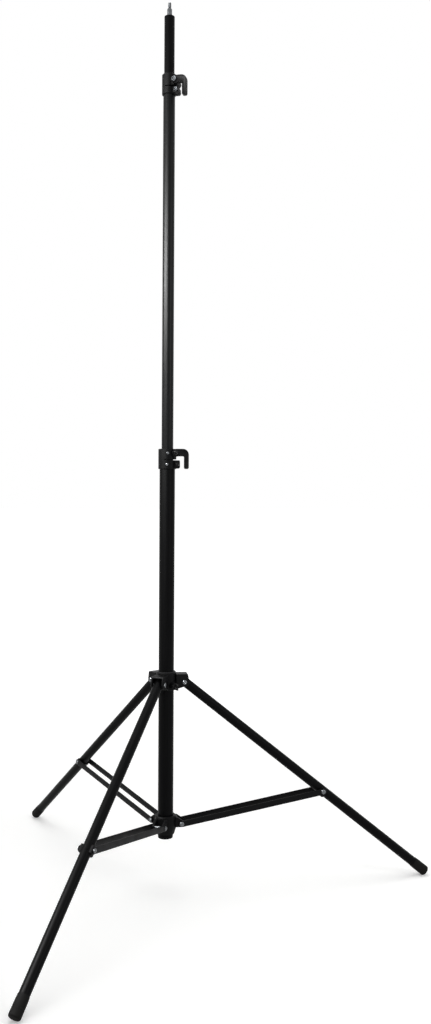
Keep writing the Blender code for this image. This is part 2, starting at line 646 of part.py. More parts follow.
def lock_screw_mesh():
    """Lock screw along X, from 0.3 mm off the mast's tube into its knob."""
    tip = LOWER_TUBE_RADIUS + SEAT_GAP
    end = LOCK_BOSS_REACH + SEAT_GAP + 0.8 * KNOB_LENGTH
    point = LOCK_SCREW_RADIUS / 3
    return along_x(lathe("lock_screw", [(0, tip), (LOCK_SCREW_RADIUS - point, tip),
                                        (LOCK_SCREW_RADIUS, tip + point),
                                        (LOCK_SCREW_RADIUS, end), (0, end)], PIN_FACETS))


def lock_knob_mesh():
    """Moulded wing knob round the end of the lock screw, along X, its wings upright."""
    seat = LOCK_BOSS_REACH + SEAT_GAP
    end = seat + KNOB_LENGTH
    radius = LOCK_SCREW_RADIUS + PIN_GAP + KNOB_WALL
    body = along_x(lathe("lock_knob", [(0, seat), (radius, seat), (radius, end - KNOB_CORNER),
                                       (radius - KNOB_CORNER, end), (0, end)], 18))
    edge = end + WING_REACH
    half = [(seat + 0.35 * KNOB_LENGTH, radius - KNOB_CORNER), (end, 0.86 * WING_SPAN),
            (edge - KNOB_CORNER, WING_SPAN), (edge, WING_SPAN - KNOB_CORNER),
            (end + 0.45 * WING_REACH, 0.42 * WING_SPAN), (end + 0.10 * WING_REACH, 0)]
    outline = half + [(x, -z) for x, z in reversed(half[:-1])]
    wings = plate("wings", outline, -WING_THICKNESS / 2, WING_THICKNESS / 2, bevel=WING_BEVEL)
    body = join(body, wings)
    room = along_x(rod("drill", LOCK_SCREW_RADIUS + PIN_GAP, seat - 0.01,
                       seat + 0.8 * KNOB_LENGTH + SEAT_GAP, PIN_FACETS))
    return cut(body, room)


def leg_tube_mesh():
    """Leg tube along -Z from just past its hub pivot, drilled for both of its rivets."""
    end = -(LEG_LENGTH - FOOT_SOLE - SEAT_GAP)
    body = tube("leg_tube", LEG_RADIUS, LEG_BORE, end, LEG_TOP_RISE, LEG_FACETS)
    hub_hole = along_y(rod("drill", LEG_PIN_RADIUS + PIN_GAP, -0.02, 0.02, PIN_FACETS))
    brace_hole = along_y(rod("drill", BRACE_PIN_RADIUS + PIN_GAP, -0.02, 0.02, PIN_FACETS),
                         (0, 0, -BRACE_ATTACH))
    return cut(body, hub_hole, brace_hole)


def leg_plug_mesh():
    """Domed plug in the leg's upper end; the hub's rivet goes through its shank."""
    seat = LEG_TOP_RISE + SEAT_GAP
    crown = seat + LEG_PLUG_HEAD
    shank = LEG_BORE - SEAT_GAP
    body = lathe("leg_plug", [(0, seat - LEG_PLUG_SHANK), (shank, seat - LEG_PLUG_SHANK),
                              (shank, seat), (LEG_RADIUS, seat),
                              (LEG_RADIUS, seat + 0.35 * LEG_PLUG_HEAD),
                              (0.8 * LEG_RADIUS, seat + 0.85 * LEG_PLUG_HEAD),
                              (0.45 * LEG_RADIUS, crown), (0, crown)], LEG_FACETS)
    hole = along_y(rod("drill", LEG_PIN_RADIUS + PIN_GAP, -0.02, 0.02, PIN_FACETS))
    return cut(body, hole)


def foot_mesh():
    """Rubber foot pushed over the leg's end, its sole rounded."""
    inside = LEG_RADIUS + SEAT_GAP
    mouth = FOOT_LENGTH - LEG_LENGTH
    sole = -LEG_LENGTH
    edge = [(radius, height) for radius, height in
            arc(FOOT_RADIUS - FOOT_ROUNDING, sole + FOOT_ROUNDING, FOOT_ROUNDING, -90, 0, 4)]
    profile = ([(0, sole)] + edge + [(FOOT_RADIUS, mouth), (inside, mouth),
                                     (inside, sole + FOOT_SOLE), (0, sole + FOOT_SOLE)])
    return lathe("foot", profile, LEG_FACETS)


def brace_clip_mesh():
    """Moulded saddle under the leg, open above it, its flat sides between the brace strips."""
    under = LEG_RADIUS + SEAT_GAP + CLIP_FLOOR
    corner = 0.8 * LEG_RADIUS
    outline = ([(CLIP_RISE, CLIP_HALF_WIDTH)]
               + arc(corner - under, CLIP_HALF_WIDTH - corner, corner, 90, 180, 4)
               + arc(corner - under, corner - CLIP_HALF_WIDTH, corner, 180, 270, 4)
               + [(CLIP_RISE, -CLIP_HALF_WIDTH)])
    body = plate("brace_clip", outline, -CLIP_LENGTH / 2, CLIP_LENGTH / 2, bevel=0.1 * CLIP_WALL)
    moved(body, (0, 0, -BRACE_ATTACH), (math.radians(-90), 0, 0))
    bore = rod("drill", LEG_RADIUS + SEAT_GAP, -2 * BRACE_ATTACH, 0, LEG_FACETS)
    hole = along_y(rod("drill", BRACE_PIN_RADIUS + PIN_GAP, -0.04, 0.04, PIN_FACETS),
                   (0, 0, -BRACE_ATTACH))
    return cut(body, bore, hole)


def brace_strip_mesh(side):
    """Flat steel strip along X from the hub pivot to the leg pivot, its ends round."""
    half = BRACE_WIDTH / 2
    outline = arc(BRACE_LENGTH, 0, half, -90, 90, 7) + arc(0, 0, half, 90, 270, 7)
    low, high = sorted((side * STRIP_INSIDE, side * STRIP_OUTSIDE))
    body = plate("brace_strip", outline, low, high)
    holes = [along_y(rod("drill", BRACE_PIN_RADIUS + PIN_GAP, -0.04, 0.04, PIN_FACETS),
                     (x, 0, 0)) for x in (0, BRACE_LENGTH)]
    return cut(body, *holes)


def brace_rivet_mesh(side):
    """One end of the rivet between brace and leg: a domed head and its shank in the strip."""
    seat = STRIP_OUTSIDE + SEAT_GAP
    crown = seat + RIVET_HEAD_HEIGHT
    brow = seat + 0.55 * RIVET_HEAD_HEIGHT
    profile = [(0, STRIP_INSIDE), (BRACE_PIN_RADIUS, STRIP_INSIDE), (BRACE_PIN_RADIUS, seat),
               (RIVET_HEAD_RADIUS, seat), (RIVET_HEAD_RADIUS, brow),
               (0.6 * RIVET_HEAD_RADIUS, crown), (0, crown)]
    body = lathe("brace_rivet", profile, PIN_FACETS)
    turn = math.radians(-90) if side > 0 else math.radians(90)
    return moved(body, (BRACE_LENGTH, 0, 0), (turn, 0, 0))


def add_collar(label, parent, base, sizes, lever_parent_turn, plastic, fastener):
    """Places a split collar, its bolts, and its lever on a pivot of its own."""
    frame = pivot(label + "_collar_frame", parent, (0, 0, base), (0, 0, lever_parent_turn))
    place(label + "_collar", collar_mesh(label + "_collar", sizes), plastic, frame)
    low_face = COLLAR_SPLIT / 2 + LUG_THICKNESS + SEAT_GAP
    fix_place = (sizes["fix_bolt"], 0, sizes["sleeve"] / 2)
    fix_bolt = bolt_mesh("fix_bolt", FIX_BOLT_RADIUS, FIX_BOLT_HEAD,
                         -low_face - NUT_HEIGHT - FIX_BOLT_TIP, low_face, PIN_FACETS)
    place(label + "_collar_bolt", moved(fix_bolt, fix_place), fastener, frame)
    fix_nut = nut_mesh("fix_nut", FIX_BOLT_RADIUS, FIX_NUT_RADIUS, -low_face)
    place(label + "_collar_nut", moved(fix_nut, fix_place), fastener, frame)
    high_face = sizes["face"] + SEAT_GAP
    nut_seat = -(high_face + LEVER_THICKNESS - LEVER_RECESS + SEAT_GAP)
    clamp_bolt = bolt_mesh("clamp_bolt", CLAMP_BOLT_RADIUS, CLAMP_BOLT_HEAD,
                           nut_seat - NUT_HEIGHT - CLAMP_BOLT_TIP, high_face, 6)
    place(label + "_clamp_bolt",
          moved(clamp_bolt, (sizes["clamp_bolt"], 0, sizes["bolt_height"])), fastener, frame)
    lever = pivot(label + "_lever_pivot", frame,
                  (sizes["clamp_bolt"], 0, sizes["bolt_height"]))
    place(label + "_clamp_lever", lever_mesh(label + "_clamp_lever", -high_face), plastic, lever)
    place(label + "_lever_nut", nut_mesh(label + "_lever_nut", CLAMP_BOLT_RADIUS,
                                         LEVER_NUT_RADIUS, nut_seat), fastener, lever)


def settle_on_floor(stand):
    """Moves the stand so that its feet meet z = 0 and its box is centred on the origin."""
    graph = bpy.context.evaluated_depsgraph_get()
    corners = []
    for piece in bpy.context.scene.objects:
        if piece.type == "MESH":
            evaluated = piece.evaluated_get(graph)
            corners += [evaluated.matrix_world @ vertex.co for vertex in evaluated.data.vertices]
    low = [min(corner[axis] for corner in corners) for axis in range(3)]
    high = [max(corner[axis] for corner in corners) for axis in range(3)]
    stand.location = (-(low[0] + high[0]) / 2, -(low[1] + high[1]) / 2, -low[2])


def build():
    for item in list(bpy.data.objects):
        bpy.data.objects.remove(item)

    coated = make_material("black_coated_aluminium", (0.012, 0.012, 0.013), 0.42, 0.6)
    plastic = make_material("black_moulded_plastic", (0.014, 0.014, 0.015), 0.55, 0.0)
    nylon = make_material("dark_nylon", (0.030, 0.030, 0.032), 0.60, 0.0)
    rubber = make_material("black_rubber", (0.016, 0.016, 0.016), 0.80, 0.0)
    steel = make_material("black_coated_steel", (0.016, 0.016, 0.017), 0.45, 0.6)
    zinc = make_material("zinc_plated_steel", (0.45, 0.45, 0.46), 0.35, 1.0)

    stand = pivot("stand", None, (0, 0, 0))

    # Lower section of the mast, with the hub for the braces
    place("lower_tube", lower_tube_mesh(), coated, stand)
    place("bottom_plug", bottom_plug_mesh(), plastic, stand)
    place("lower_hub", lower_hub_mesh(), plastic, stand)
    place("lower_hub_screw", moved(hub_screw_mesh(), rotation=(0, 0, azimuth(0.5))), zinc, stand)
    place("lower_guide_bush", guide_bush_mesh(), nylon, stand)
    lower_sizes = collar_sizes(LOWER_TUBE_RADIUS, MIDDLE_TUBE_RADIUS, LOWER_COLLAR_SLEEVE,
                               LOWER_COLLAR_NOTCH, LOWER_COLLAR_TOP)
    rim_room = GUIDE_RIM + 2 * SEAT_GAP
    add_collar("lower", stand, LOWER_TUBE_TOP + rim_room - LOWER_COLLAR_SLEEVE, lower_sizes,
               LOWER_COLLAR_TURN, plastic, steel)

    # Middle section: the glide slides in the lower tube and the tube turns on the glide
    middle = pivot("middle_section", stand, (0, 0, MIDDLE_TUBE_BASE))
    place("middle_glide", glide_mesh("middle_glide", LOWER_BORE, MIDDLE_BORE), nylon, middle)
    place("middle_tube", tube("middle_tube", MIDDLE_TUBE_RADIUS, MIDDLE_BORE, 0,
                              MIDDLE_TUBE_LENGTH, MAST_FACETS), coated, middle)
    upper_sizes = collar_sizes(MIDDLE_TUBE_RADIUS, TOP_TUBE_RADIUS, UPPER_COLLAR_SLEEVE,
                               UPPER_COLLAR_NOTCH, UPPER_COLLAR_TOP)
    add_collar("upper", middle, MIDDLE_TUBE_LENGTH + SEAT_GAP - UPPER_COLLAR_SLEEVE, upper_sizes,
               UPPER_COLLAR_TURN, plastic, zinc)

    # Top section, with the stud that carries the light
    top = pivot("top_section", middle, (0, 0, TOP_TUBE_BASE - MIDDLE_TUBE_BASE))
    place("top_glide", glide_mesh("top_glide", MIDDLE_BORE, TOP_BORE), nylon, top)
    place("top_tube", tube("top_tube", TOP_TUBE_RADIUS, TOP_BORE, 0, TOP_TUBE_LENGTH,
                           MAST_FACETS), coated, top)
    place("top_cap", moved(top_cap_mesh(), (0, 0, TOP_TUBE_LENGTH)), plastic, top)
    place("light_stud", moved(stud_mesh(), (0, 0, TOP_TUBE_LENGTH)), zinc, top)

    # Leg hub and its lock screw
    collar = pivot("leg_collar", stand, (0, 0, HUB_PIVOT_HEIGHT))
    place("leg_hub", leg_hub_mesh(), plastic, collar)
    place("leg_hub_bush", hub_bush_mesh(), nylon, collar)
    lock = pivot("lock_pivot", collar, (0, 0, LOCK_RISE - HUB_BELOW_PIVOT),
                 (0, 0, azimuth(-0.5)))
    place("lock_screw", lock_screw_mesh(), zinc, lock)
    place("lock_knob", lock_knob_mesh(), plastic, lock)

    # Legs and braces, each set on its own pivots
    leg_pin = headed_pin("leg_pin", LEG_PIN_RADIUS, CHEEK_OUTSIDE)
    hub_pin = headed_pin("lower_pivot_pin", BRACE_PIN_RADIUS, STRIP_OUTSIDE)
    brace_pin = along_y(rod("brace_pin", BRACE_PIN_RADIUS, -CLIP_HALF_WIDTH, CLIP_HALF_WIDTH,
                            PIN_FACETS), (0, 0, -BRACE_ATTACH))
    leg_tube, leg_plug, foot, clip = (leg_tube_mesh(), leg_plug_mesh(), foot_mesh(),
                                      brace_clip_mesh())
    strips = {side: brace_strip_mesh(side) for side in (1, -1)}
    rivets = {side: brace_rivet_mesh(side) for side in (1, -1)}
    for index in range(LEG_COUNT):
        number = str(index + 1)
        turn = azimuth(index)
        out = Vector((math.cos(turn), math.sin(turn), 0))
        fork = pivot("fork_" + number, collar, HUB_PIVOT_RADIUS * out, (0, 0, turn))
        place("leg_pin_" + number, leg_pin, zinc, fork)
        leg = pivot("leg_pivot_" + number, collar, HUB_PIVOT_RADIUS * out,
                    (0, -LEG_ANGLE, turn))
        place("leg_tube_" + number, leg_tube, coated, leg)
        place("leg_plug_" + number, leg_plug, plastic, leg)
        place("foot_" + number, foot, rubber, leg)
        place("brace_clip_" + number, clip, plastic, leg)
        place("brace_pin_" + number, brace_pin, zinc, leg)
        lug_place = LOWER_PIVOT_RADIUS * out + Vector((0, 0, LOWER_PIVOT_HEIGHT))
        lug = pivot("lug_" + number, stand, lug_place, (0, 0, turn))
        place("lower_pivot_pin_" + number, hub_pin, zinc, lug)
        brace = pivot("brace_pivot_" + number, stand, lug_place, (0, -BRACE_ANGLE, turn))
        for side, letter in ((1, "a"), (-1, "b")):
            place("brace_strip_" + number + letter, strips[side], steel, brace)
            place("brace_rivet_" + number + letter, rivets[side], zinc, brace)

    bpy.context.view_layer.update()
    settle_on_floor(stand)


build()
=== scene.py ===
import json
import math

import bmesh
import bpy
import numpy as np
from mathutils import Matrix, Vector


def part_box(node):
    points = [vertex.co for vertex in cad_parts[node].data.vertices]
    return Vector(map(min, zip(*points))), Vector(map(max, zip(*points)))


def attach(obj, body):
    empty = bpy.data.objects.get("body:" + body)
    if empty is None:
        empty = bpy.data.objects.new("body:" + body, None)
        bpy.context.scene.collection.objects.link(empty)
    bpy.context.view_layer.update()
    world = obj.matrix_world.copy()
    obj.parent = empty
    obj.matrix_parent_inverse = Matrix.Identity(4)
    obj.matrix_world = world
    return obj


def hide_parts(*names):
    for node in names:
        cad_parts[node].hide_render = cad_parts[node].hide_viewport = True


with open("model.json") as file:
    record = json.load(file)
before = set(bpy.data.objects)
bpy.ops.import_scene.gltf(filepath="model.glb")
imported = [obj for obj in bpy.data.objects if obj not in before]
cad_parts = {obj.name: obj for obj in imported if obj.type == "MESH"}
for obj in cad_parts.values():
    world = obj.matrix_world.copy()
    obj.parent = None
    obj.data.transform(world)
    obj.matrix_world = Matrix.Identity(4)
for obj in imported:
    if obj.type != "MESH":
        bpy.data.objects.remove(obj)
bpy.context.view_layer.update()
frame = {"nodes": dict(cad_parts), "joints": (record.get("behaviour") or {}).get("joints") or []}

joints = {joint["name"]: joint for joint in frame["joints"]}
mast = Vector((joints["middle_turn"]["pos_m"][0], joints["middle_turn"]["pos_m"][1], 0))


# Mast tubes
# Three drawn aluminium tubes with black anodising, each a sliding fit over the next. Drawing
# leaves faint lines along the tube and the dye is a little uneven, so its gloss is silky.

tube_walls = {"lower_tube": 0.0013, "middle_tube": 0.0010, "top_tube": 0.0010}
tube_edge = 0.0004


def linear(code):
    """Linear colour of an sRGB hex code. A channel c up to 0.04045 is divided by 12.92, and a
    higher one is c plus 0.055, over 1.055, to the power 2.4."""
    c = np.array([int(code[place:place + 2], 16) for place in (1, 3, 5)]) / 255
    c = np.where(c <= 0.04045, c / 12.92, ((c + 0.055) / 1.055) ** 2.4)
    return (*c.tolist(), 1.0)


def step(tree, kind, inputs, **settings):
    """Adds a node with its settings, and gives each input a value or another node's output."""
    node = tree.nodes.new(kind)
    for name, value in settings.items():
        setattr(node, name, value)
    for name, value in inputs.items():
        if isinstance(value, bpy.types.NodeSocket):
            tree.links.new(value, node.inputs[name])
        else:
            node.inputs[name].default_value = value
    return node


def new_finish(name):
    """A new material, its node tree and its shader."""
    material = bpy.data.materials.new(name)
    material.use_nodes = True
    return material, material.node_tree, material.node_tree.nodes["Principled BSDF"]


def join_finish(tree, shader, colour, rough, relief):
    """Joins the nodes for a surface's colour, roughness and relief to its shader."""
    tree.links.new(colour.outputs[2], shader.inputs["Base Color"])
    tree.links.new(rough.outputs[0], shader.inputs["Roughness"])
    tree.links.new(relief.outputs["Normal"], shader.inputs["Normal"])


def anodised_aluminium(name, dark, light, gloss, specular):
    """Dyed anodising: drawn lines 0.7 mm apart and 60 mm long in colour, roughness and relief,
    and slow patches 80 mm across in the dye. The real lines are finer than the render shows."""
    line_gap, line_length, patch = 0.0007, 0.060, 0.080
    material, tree, shader = new_finish(name)
    own = step(tree, "ShaderNodeAttribute", {}, attribute_name="own").outputs["Vector"]
    drawn = step(tree, "ShaderNodeMapping",
                 {"Vector": own, "Scale": (1 / line_gap, 1 / line_gap, 1 / line_length)})
    lines = step(tree, "ShaderNodeTexNoise",
                 {"Vector": drawn.outputs["Vector"], "Scale": 1.0, "Detail": 2.0})
    patches = step(tree, "ShaderNodeTexNoise", {"Vector": own, "Scale": 1 / patch, "Detail": 3.0})
    shade = step(tree, "ShaderNodeMath", {0: lines.outputs["Fac"], 1: patches.outputs["Fac"]},
                 operation="MULTIPLY")
    dye = step(tree, "ShaderNodeMapRange", {"Value": shade.outputs[0], "From Min": 0.12,
                                            "From Max": 0.42})
    colour = step(tree, "ShaderNodeMix", {0: dye.outputs[0], 6: linear(dark),
                                          7: linear(light)}, data_type="RGBA")
    rough = step(tree, "ShaderNodeMapRange", {"Value": lines.outputs["Fac"], "From Min": 0.3,
                                              "From Max": 0.7, "To Min": gloss - 0.05,
                                              "To Max": gloss + 0.07})
    relief = step(tree, "ShaderNodeBump", {"Height": lines.outputs["Fac"], "Strength": 0.12,
                                           "Distance": 0.0002})
    shader.inputs["Specular IOR Level"].default_value = specular
    join_finish(tree, shader, colour, rough, relief)
    return material


def eased(corners, radius, steps=4, closed=True):
    """A profile with its corners rounded, by one radius or by a list with one for each corner.
    A corner C turns into the points (1 - t)^2 A + 2 t (1 - t) C + t^2 B, with A and B a radius
    from C along its two sides."""
    corner = np.array(corners, float)
    radius = np.broadcast_to(np.asarray(radius, float), len(corner))[:, None]
    sides = []
    for turn in (1, -1):
        side = np.roll(corner, turn, 0) - corner
        length = np.linalg.norm(side, axis=1, keepdims=True)
        sides.append(corner + side * np.minimum(radius / np.maximum(length, 1e-9), 0.48))
    t = np.linspace(0, 1, steps + 1)[None, :, None]
    curve = ((1 - t) ** 2 * sides[0][:, None] + 2 * t * (1 - t) * corner[:, None]
             + t ** 2 * sides[1][:, None])
    if not closed:
        curve[0], curve[-1] = corner[0], corner[-1]
    return curve.reshape(-1, 2)


def turned(profile, facets):
    """Points of a turned shape: (radius, height) at the angle t is at (radius cos t,
    radius sin t, height)."""
    radius, height = np.asarray(profile).T
    angle = np.linspace(0, 2 * np.pi, facets, endpoint=False)
    return np.stack([np.outer(radius, np.cos(angle)), np.outer(radius, np.sin(angle)),
                     np.repeat(height[:, None], facets, 1)], -1)


def skin(grid, closed):
    """The points of a grid and its quads. Columns always join round, and rows do on a ring."""
    index = np.arange(grid.shape[0] * grid.shape[1]).reshape(grid.shape[:2])
    quads = np.stack([index, np.roll(index, -1, 1), np.roll(index, (-1, -1), (0, 1)),
                      np.roll(index, -1, 0)], -1)
    return grid.reshape(-1, 3), quads[:None if closed else -1].reshape(-1, 4)


def piece(name, shape, place, material, body, nodes=(), crease=38):
    """One finished object from the points and faces of its shape: equal points merged, faces
    turned outwards, own coordinates kept for its material, and the mesh carried to its place."""
    points, faces = shape
    mesh = bpy.data.meshes.new(name)
    mesh.from_pydata(points.tolist(), [], faces.tolist())
    bm = bmesh.new()
    bm.from_mesh(mesh)
    bmesh.ops.remove_doubles(bm, verts=bm.verts, dist=1e-7)
    bmesh.ops.recalc_face_normals(bm, faces=bm.faces)
    bm.to_mesh(mesh)
    bm.free()
    own = np.empty(3 * len(mesh.vertices), np.float32)
    mesh.vertices.foreach_get("co", own)
    mesh.attributes.new("own", "FLOAT_VECTOR", "POINT").data.foreach_set("vector", own)
    mesh.transform(place)
    mesh.shade_smooth()
    mesh.set_sharp_from_angle(angle=math.radians(crease))
    mesh.materials.append(material)
    made = bpy.data.objects.new(name, mesh)
    bpy.context.scene.collection.objects.link(made)
    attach(made, body)
    if nodes:
        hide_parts(*nodes)


lower_black = anodised_aluminium("anodised_aluminium_lower", "#050506", "#0B0B0C", 0.38, 0.04)
middle_black = anodised_aluminium("anodised_aluminium_middle", "#090A0B", "#121314", 0.33, 0.10)
for node, body, finish in (("lower_tube", "mast_base", lower_black),
                           ("middle_tube", "middle_section", middle_black),
                           ("top_tube", "top_section", lower_black)):
    low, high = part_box(node)
    radius = (high.x - low.x) / 2
    bore = radius - tube_walls[node]
    wall = eased([(bore, low.z), (radius, low.z), (radius, high.z), (bore, high.z)], tube_edge)
    piece(node + "_drawn", skin(turned(wall, 72), True), Matrix.Translation(mast), finish,
          body, [node])


# Glides and guides
# Rings of dark nylon between the tubes: a guide in the mouth of the lower tube, a glide on the
# foot of each sliding tube and a liner in the leg hub. Smooth, and greyer than the tubes.

def moulded(name, dark, light, gloss, grain, relief_height, specular):
    """A moulded plastic or rubber: an eroded mould's grain in relief, its cells grain metres
    across, and patches 30 mm across in the colour and the roughness."""
    patch = 0.030
    material, tree, shader = new_finish(name)
    place = step(tree, "ShaderNodeTexCoord", {}).outputs["Object"]
    cells = step(tree, "ShaderNodeTexVoronoi", {"Vector": place, "Scale": 1 / grain},
                 feature="SMOOTH_F1")
    patches = step(tree, "ShaderNodeTexNoise", {"Vector": place, "Scale": 1 / patch,
                                                "Detail": 5.0, "Roughness": 0.6})
    spread = step(tree, "ShaderNodeMapRange", {"Value": patches.outputs["Fac"],
                                               "From Min": 0.32, "From Max": 0.68})
    colour = step(tree, "ShaderNodeMix", {0: spread.outputs[0], 6: linear(dark),
                                          7: linear(light)}, data_type="RGBA")
    rough = step(tree, "ShaderNodeMapRange",
                 {"Value": patches.outputs["Fac"], "From Min": 0.3, "From Max": 0.7,
                  "To Min": gloss - 0.08, "To Max": gloss + 0.08})
    relief = step(tree, "ShaderNodeBump", {"Height": cells.outputs["Distance"],
                                           "Strength": 0.5, "Distance": relief_height})
    shader.inputs["Specular IOR Level"].default_value = specular
    join_finish(tree, shader, colour, rough, relief)
    return material


def give_finish(node, material):
    """Gives a CAD node, whose shape is right as it is, its finish."""
    frame["nodes"][node].data.materials.clear()
    frame["nodes"][node].data.materials.append(material)


turned_nylon = moulded("dark_nylon_guides", "#18181A", "#262628", 0.55, 0.0012, 0.00006, 0.20)
for node in ("lower_guide_bush", "middle_glide", "top_glide", "leg_hub_bush"):
    give_finish(node, turned_nylon)


# Lower hub and bottom plug
# The hub that the braces turn on, moulded in glass-filled nylon with forked lugs, and pinned
# to the mast by a screw. Its mould was spark-eroded, which gives a fine even grain.

plug_floor = 0.0040
plug_step = 0.0012
plug_wall = 0.0020
nylon = moulded("glass_filled_nylon", "#060607", "#0E0E0F", 0.44, 0.0007, 0.00008, 0.06)


def softened(name, node, edge, body):
    """A nylon moulding made from its solid: the same points merged, coplanar triangles joined
    into flats, and each edge of more than 38 degrees rounded to the width edge at most."""
    crease = math.radians(38)
    mesh = frame["nodes"][node].data.copy()
    mesh.name = name
    bm = bmesh.new()
    bm.from_mesh(mesh)
    bmesh.ops.remove_doubles(bm, verts=bm.verts, dist=2e-6)
    bmesh.ops.dissolve_limit(bm, angle_limit=math.radians(1.0), verts=bm.verts, edges=bm.edges)
    bm.to_mesh(mesh)
    bm.free()
    mesh.materials.clear()
    mesh.materials.append(nylon)
    mesh.shade_smooth()
    mesh.set_sharp_from_angle(angle=crease)
    made = bpy.data.objects.new(name, mesh)
    bpy.context.scene.collection.objects.link(made)
    rounding = made.modifiers.new("rounded_edges", "BEVEL")
    rounding.width = edge
    rounding.segments = 2
    rounding.limit_method = "ANGLE"
    rounding.angle_limit = crease
    rounding.harden_normals = True
    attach(made, body)
    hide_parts(node)


softened("lower_hub_moulding", "lower_hub", 0.0005, "mast_base")

low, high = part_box("bottom_plug")
flange = (high.x - low.x) / 2
stem = flange - plug_step
bore = stem - plug_wall
cup = eased([(0, low.z), (flange, low.z), (flange, low.z + plug_floor),
             (stem, low.z + plug_floor), (stem, high.z), (bore, high.z),
             (bore, low.z + plug_floor), (0, low.z + plug_floor)],
            [0, 0.0016, 0.0003, 0.0001, 0.0004, 0.0004, 0.0006, 0], 4, False)
piece("bottom_plug_moulding", skin(turned(cup, 64), False), Matrix.Translation(mast), nylon,
      "mast_base", ["bottom_plug"])


# Rivets, screws and nuts
# Steel fasteners with passivated zinc plate: a cool satin grey, slightly cloudy and darker
# than bright zinc. Rivet heads are low domes, and one end keeps the dimple of its forming.

leg_rivet = {"head": 0.0046, "height": 0.0026, "shank": 0.0030}
brace_rivet = {"head": 0.0045, "height": 0.0020, "shank": 0.0025}
rivet_brim = 0.0004
rivet_dimple = 0.0013
# How far the hub's cheeks and the strips' outsides are from the middle plane of their leg.
cheek_outside = 0.0131
strip_outside = 0.0145
# The gap that is left wherever one piece seats on another.
seat_gap = 0.0003
hub_screw = {"head": 0.0036, "height": 0.0018, "socket": 0.0024, "shank": 0.0020,
             "length": 0.0090}
hub_screw_azimuth = math.radians(60)
hub_screw_seat = 0.0213
# The way each leg points, from the axis that it folds about.
azimuths = {}
for k in (1, 2, 3):
    fold_axis = joints[f"leg_{k}_fold"]["axis"]
    azimuths[k] = math.atan2(-fold_axis[0], fold_axis[1])


def zinc_plate(name, light, dark, gloss):
    """Passivated zinc plate: clouds 3 mm across between two greys and in the roughness, and
    a fine relief of 0.5 mm."""
    cloud, haze_grain = 0.003, 0.0005
    material, tree, shader = new_finish(name)
    place = step(tree, "ShaderNodeTexCoord", {}).outputs["Object"]
    clouds = step(tree, "ShaderNodeTexNoise", {"Vector": place, "Scale": 1 / cloud,
                                               "Detail": 2.0})
    haze = step(tree, "ShaderNodeTexNoise", {"Vector": place, "Scale": 1 / haze_grain,
                                             "Detail": 1.0})
    colour = step(tree, "ShaderNodeMix", {0: clouds.outputs["Fac"], 6: linear(dark),
                                          7: linear(light)}, data_type="RGBA")
    rough = step(tree, "ShaderNodeMapRange", {"Value": clouds.outputs["Fac"],
                                              "From Min": 0.3, "From Max": 0.7,
                                              "To Min": gloss - 0.07, "To Max": gloss + 0.1})
    relief = step(tree, "ShaderNodeBump", {"Height": haze.outputs["Fac"], "Strength": 0.25,
                                           "Distance": 0.00008})
    shader.inputs["Metallic"].default_value = 1.0
    join_finish(tree, shader, colour, rough, relief)
    return material


def domed(head, height, seat, dimple):
    """Profile of a rivet head from its crown to its seat: at the angle s the radius is sin s
    and the height cos s of the dome. Inside the dimple's radius a bowl 0.45 of the head's
    height deep is taken off."""
    s = np.linspace(0, np.pi / 2, 14)
    out = head * np.sin(s)
    up = seat + rivet_brim + (height - rivet_brim) * np.cos(s)
    if dimple:
        up = up - 0.45 * height * np.clip(1 - (out / dimple) ** 2, 0, 1) ** 0.5
    return np.concatenate([np.stack([out, up], -1), [(head, seat)]])


def along_y(profile):
    """A shape turned about Y from its profile: (x, y, z) of one turned about Z goes to
    (x, z, -y)."""
    x, y, z = np.moveaxis(turned(profile, 32), -1, 0)
    return np.stack([x, z, -y], -1)


def rivet(seat, head, height, shank):
    """A rivet along Y, headed at both ends of the stack it holds."""
    plain = domed(head, height, seat, 0)
    formed = domed(head, height, seat, rivet_dimple)[::-1] * (1, -1)
    return skin(along_y(np.concatenate([plain, [(shank, seat), (shank, -seat)], formed])), False)


zinc = zinc_plate("zinc_plated_steel_satin", "#6E7072", "#505254", 0.28)
for k, azimuth in azimuths.items():
    upright = Matrix.Rotation(azimuth, 4, "Z")
    at_leg = Matrix.Translation(joints[f"leg_{k}_fold"]["pos_m"]) @ upright
    at_lug = Matrix.Translation(joints[f"brace_{k}_fold"]["pos_m"]) @ upright
    piece(f"leg_rivet_{k}", rivet(cheek_outside + seat_gap, **leg_rivet), at_leg, zinc,
          "leg_collar", [f"leg_pin_{k}"])
    piece(f"lug_rivet_{k}", rivet(strip_outside + seat_gap, **brace_rivet), at_lug, zinc,
          "mast_base", [f"lower_pivot_pin_{k}"])
    give_finish(f"brace_pin_{k}", zinc)


def six_sided(angle, across):
    """Distance from the centre to a hexagon's side at an angle: half the width across its
    flats over the cosine of the angle from the middle of that side."""
    return across / 2 / np.cos((angle + np.pi / 6) % (np.pi / 3) - np.pi / 6)


